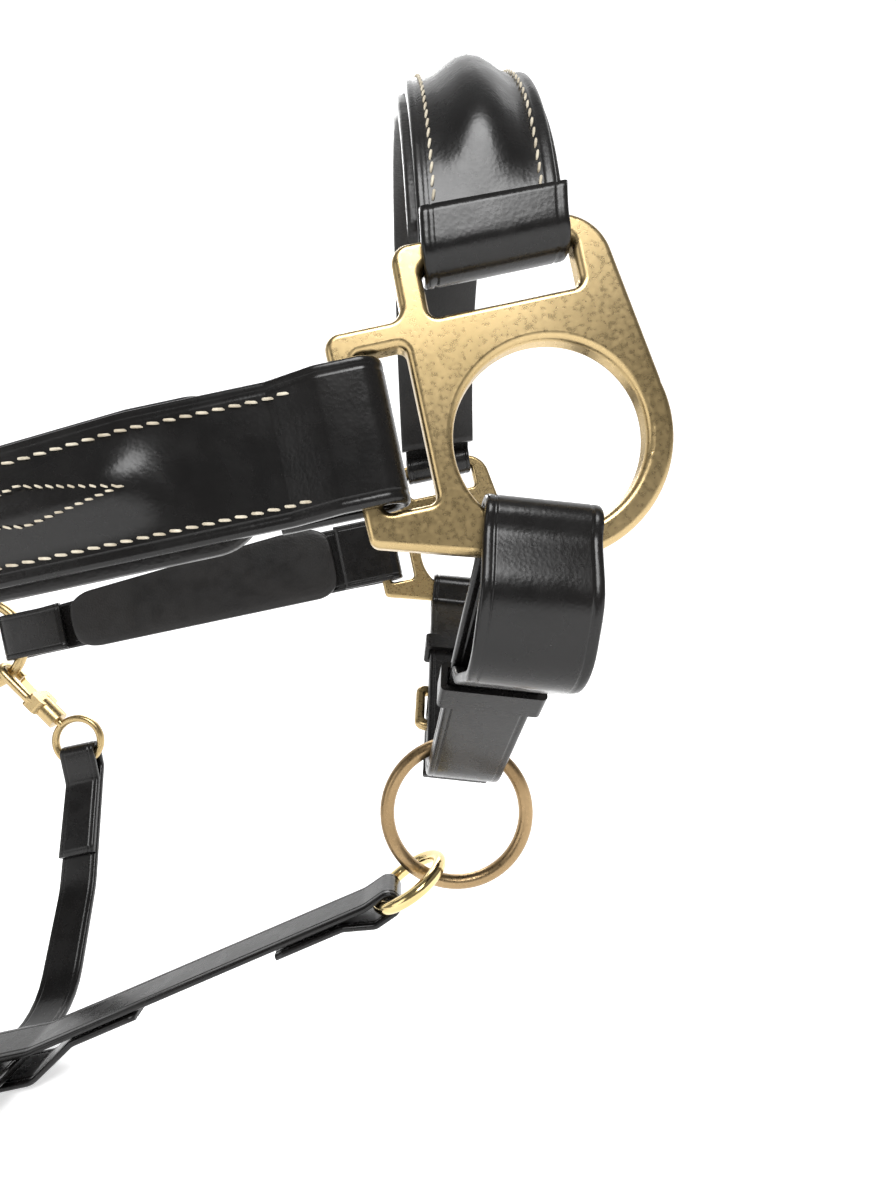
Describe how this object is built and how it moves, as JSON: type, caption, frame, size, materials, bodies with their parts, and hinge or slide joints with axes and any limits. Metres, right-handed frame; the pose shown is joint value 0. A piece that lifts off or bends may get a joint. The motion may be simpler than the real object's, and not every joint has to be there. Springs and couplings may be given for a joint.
{
  "type": "headcollar",
  "caption": "Leather headcollar with padded noseband and cheeks, cast brass nose fittings, folded chin strap, lead ring, jowl strap, throatlatch on a trigger snap and a buckled crown.",
  "frame": {"origin": "the middle of the crown's inner face, where it rests on the poll", "axes": "+X along the cheekpieces towards the muzzle, +Y towards the horse's left, +Z towards the forehead"},
  "size_m": [0.456, 0.1981, 0.3192],
  "materials": {
    "black_leather": "satin, waxed bridle leather with cream stitching",
    "lining_leather": "satin, soft padded lining leather",
    "felt_filler": "matte, hidden filler",
    "cast_brass": "satin, cast and lightly polished",
    "antique_brass": "satin, darkened with use",
    "polished_brass": "polished"
  },
  "bodies": {
    "headcollar": {"noseband_outer": "black_leather", "noseband_filler": "felt_filler", "noseband_lining": "lining_leather", "cheekpiece_outer_right": "black_leather", "cheekpiece_outer_left": "black_leather", "cheekpiece_filler_right": "felt_filler", "cheekpiece_filler_left": "felt_filler", "cheekpiece_lining_right": "lining_leather", "cheekpiece_lining_left": "lining_leather", "nose_fitting_right": "cast_brass", "nose_fitting_left": "cast_brass", "upper_ring_right": "cast_brass", "upper_ring_left": "cast_brass", "chin_strap": "black_leather", "chin_buckle_frame": "cast_brass", "jowl_strap": "black_leather", "throatlatch": "black_leather", "snap_eye": "cast_brass", "crown_strap": "black_leather", "crown_padding": "lining_leather", "crown_chape_right": "black_leather", "crown_chape_left": "black_leather", "crown_keeper_right": "black_leather", "crown_keeper_left": "black_leather", "crown_buckle_right": "cast_brass", "crown_buckle_left": "cast_brass"},
    "lead_ring": {"lead_ring": "antique_brass"},
    "link_ring": {"link_ring": "polished_brass"},
    "snap": {"snap_hook": "cast_brass", "snap_pin": "polished_brass"},
    "snap_gate": {"snap_gate": "polished_brass"},
    "chin_tongue": {"chin_buckle_tongue": "cast_brass"},
    "crown_tongue_right": {"crown_tongue_right": "cast_brass"},
    "crown_tongue_left": {"crown_tongue_left": "cast_brass"},
    "chin_keeper_right": {"chin_keeper_right": "black_leather"},
    "chin_keeper_left": {"chin_keeper_left": "black_leather"}
  },
  "joints": [
    {"name": "lead_ring_swing", "type": "hinge", "parent": "headcollar", "child": "lead_ring", "pos_m": [0.39132, 0, -0.21288], "axis": [0.9511, 0, -0.309], "range_deg": [-4, 4]},
    {"name": "link_ring_swing", "type": "hinge", "parent": "headcollar", "child": "link_ring", "pos_m": [0.3481, 0, -0.26918], "axis": [0, 1, 0], "range_deg": [-6, 1]},
    {"name": "snap_swivel", "type": "hinge", "parent": "headcollar", "child": "snap", "pos_m": [0.17571, 0.088, -0.15403], "axis": [0.5447, 0, -0.8386], "range_deg": [-8, 8]},
    {"name": "snap_gate_hinge", "type": "hinge", "parent": "snap", "child": "snap_gate", "pos_m": [0.1866, 0.0925, -0.1708], "axis": [0.8386, 0, 0.5447], "range_deg": [0, 18], "stiffness_Nm_per_rad": 0.02, "springref_deg": -17.19},
    {"name": "chin_tongue_hinge", "type": "hinge", "parent": "headcollar", "child": "chin_tongue", "pos_m": [0.38954, 0.02758, -0.21832], "axis": [-0.9511, 0, 0.309], "range_deg": [0, 12]},
    {"name": "crown_tongue_right_hinge", "type": "hinge", "parent": "headcollar", "child": "crown_tongue_right", "pos_m": [0.13321, -0.088, -0.11047], "axis": [0.6384, 0, 0.7697], "range_deg": [0, 12]},
    {"name": "crown_tongue_left_hinge", "type": "hinge", "parent": "headcollar", "child": "crown_tongue_left", "pos_m": [0.13321, 0.088, -0.11047], "axis": [-0.6384, 0, -0.7697], "range_deg": [0, 12]},
    {"name": "chin_keeper_right_slide", "type": "slide", "parent": "headcollar", "child": "chin_keeper_right", "axis": [0.1957, -0.7739, 0.6023], "range_m": [-0.018, 0.002]},
    {"name": "chin_keeper_left_slide", "type": "slide", "parent": "headcollar", "child": "chin_keeper_left", "axis": [0.1957, 0.7739, 0.6023], "range_m": [-0.014, 0.01]}
  ]
}
